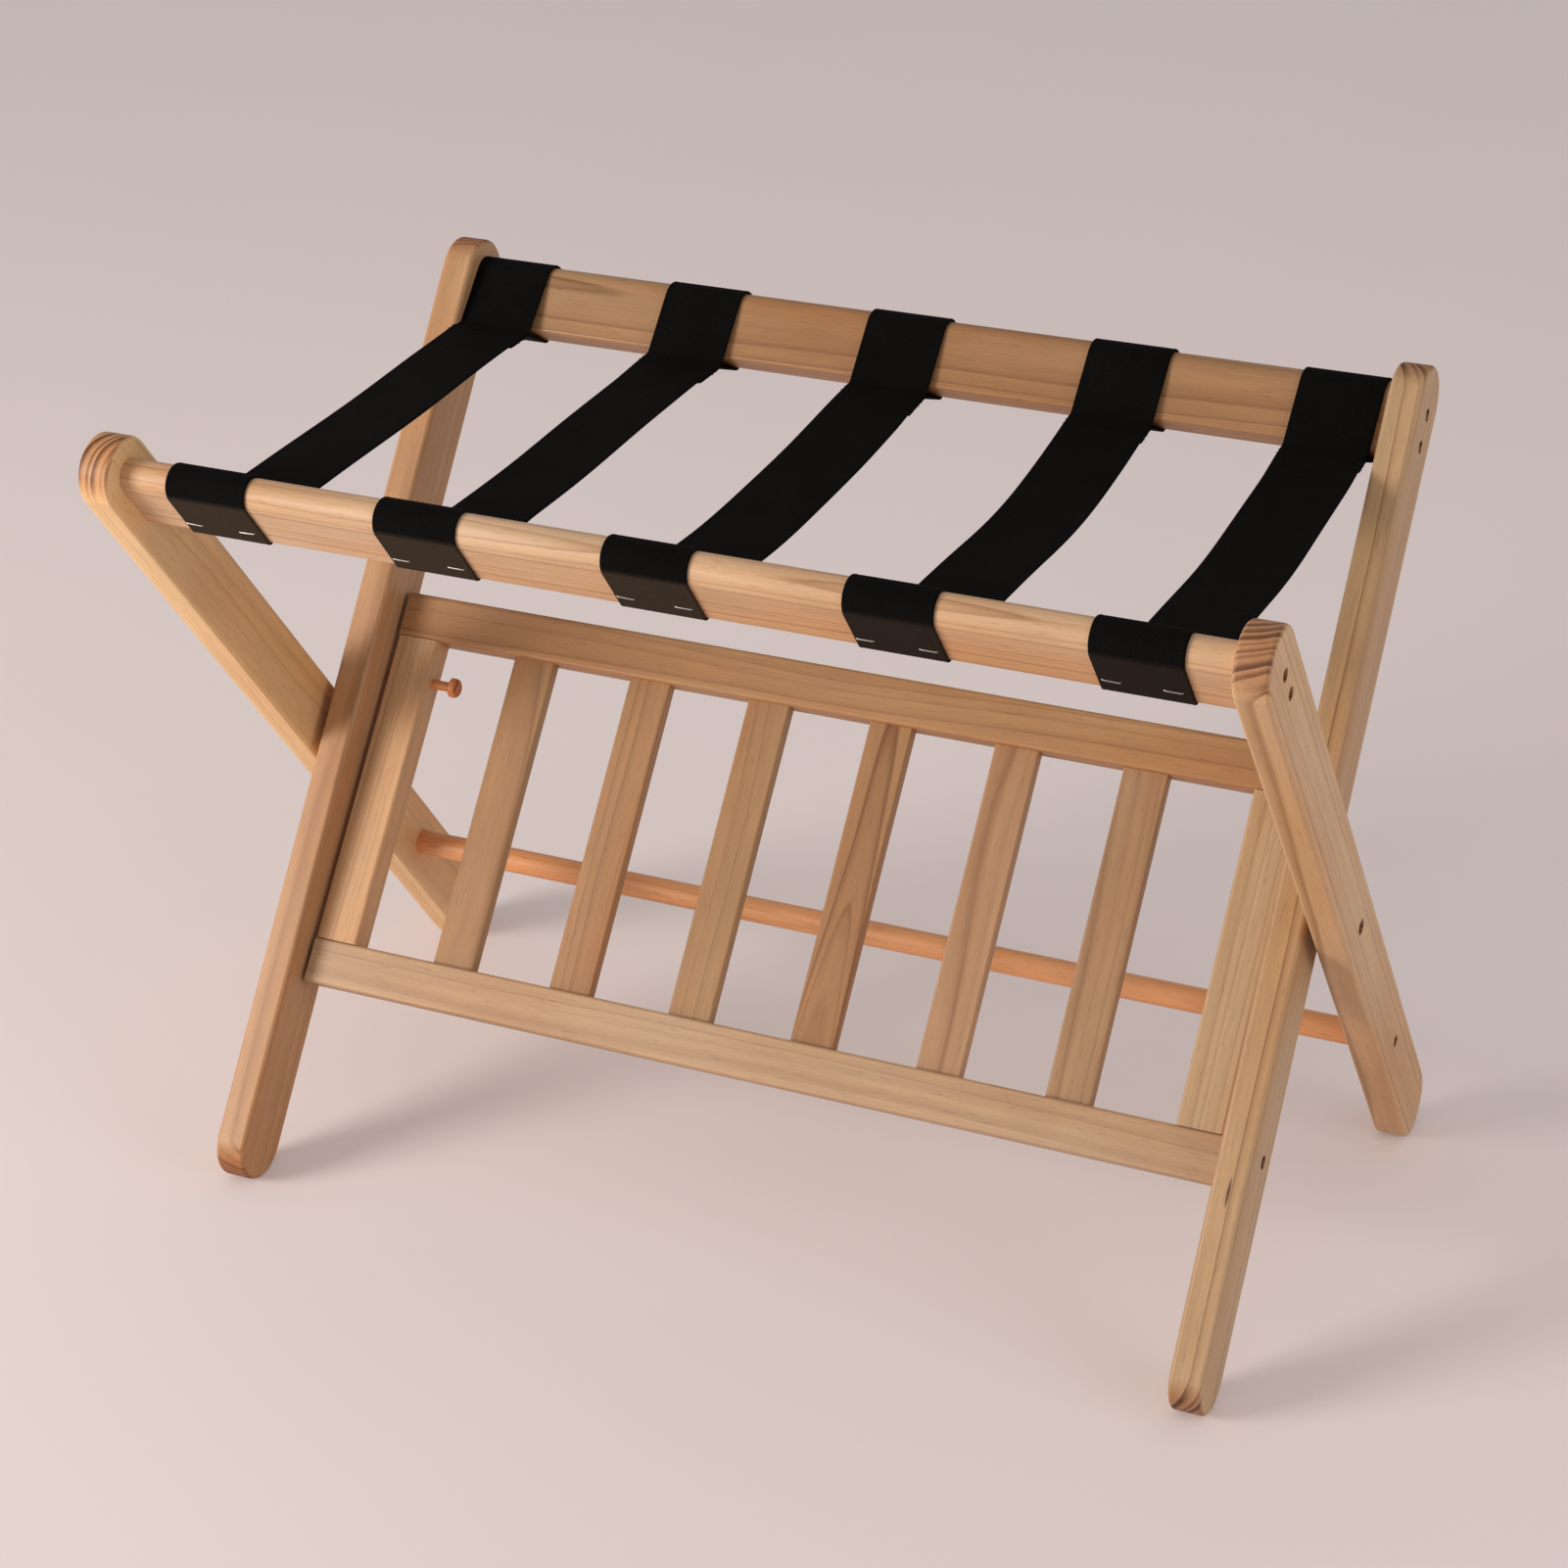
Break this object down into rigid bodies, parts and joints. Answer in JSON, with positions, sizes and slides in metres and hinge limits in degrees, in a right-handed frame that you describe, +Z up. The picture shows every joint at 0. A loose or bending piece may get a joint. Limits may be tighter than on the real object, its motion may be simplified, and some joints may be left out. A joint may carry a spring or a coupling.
{
  "type": "luggage rack",
  "caption": "Folding wooden luggage rack: crossed legs hinged at the middle, webbing straps between rounded top rails, and a slatted shelf that swings down onto a dowel.",
  "frame": {"origin": "on the floor, midway between the four feet", "axes": "+X along the rails to the right, +Y from the front rail to the rear rail, +Z up"},
  "size_m": [0.68, 0.4084, 0.4906],
  "materials": {
    "lacquered_pine": "clear satin lacquer",
    "black_webbing": "woven polypropylene",
    "black_steel": "black oxide",
    "staple_steel": "galvanised wire",
    "nylon_spacer": "moulded nylon"
  },
  "bodies": {
    "inner_frame": {"inner_leg_left": "lacquered_pine", "inner_leg_right": "lacquered_pine", "rear_rail": "lacquered_pine", "rear_rail_screws": "black_steel", "pivot_bolt_left": "black_steel", "pivot_bolt_right": "black_steel", "pivot_spacer_left": "nylon_spacer", "pivot_spacer_right": "nylon_spacer"},
    "outer_frame": {"outer_leg_left": "lacquered_pine", "outer_leg_right": "lacquered_pine", "front_rail": "lacquered_pine", "front_rail_screws": "black_steel", "stretcher_dowel": "lacquered_pine", "stretcher_screws": "black_steel", "strap_1": "black_webbing", "strap_2": "black_webbing", "strap_3": "black_webbing", "strap_4": "black_webbing", "strap_5": "black_webbing", "strap_staples": "staple_steel"},
    "shelf": {"shelf_bottom_rail": "lacquered_pine", "shelf_top_rail": "lacquered_pine", "shelf_stile_left": "lacquered_pine", "shelf_stile_right": "lacquered_pine", "shelf_slat_1": "lacquered_pine", "shelf_slat_2": "lacquered_pine", "shelf_slat_3": "lacquered_pine", "shelf_slat_4": "lacquered_pine", "shelf_slat_5": "lacquered_pine", "shelf_slat_6": "lacquered_pine", "shelf_hinge_screw_left": "black_steel", "shelf_hinge_screw_right": "black_steel"},
    "lock_peg": {"shelf_lock_peg": "lacquered_pine"}
  },
  "joints": [
    {"name": "frame_fold", "type": "hinge", "parent": "inner_frame", "child": "outer_frame", "pos_m": [0, 0, 0.22896], "axis": [-1, 0, 0], "range_deg": [0, 63.7], "deforming": ["strap_1", "strap_2", "strap_3", "strap_4", "strap_5"]},
    {"name": "shelf_swing", "type": "hinge", "parent": "inner_frame", "child": "shelf", "pos_m": [0, -0.08175, 0.1165], "axis": [-1, 0, 0], "range_deg": [0, 50.8]},
    {"name": "lock_peg_slide", "type": "slide", "parent": "shelf", "child": "lock_peg", "axis": [-1, 0, 0], "range_m": [0, 0.011]}
  ]
}
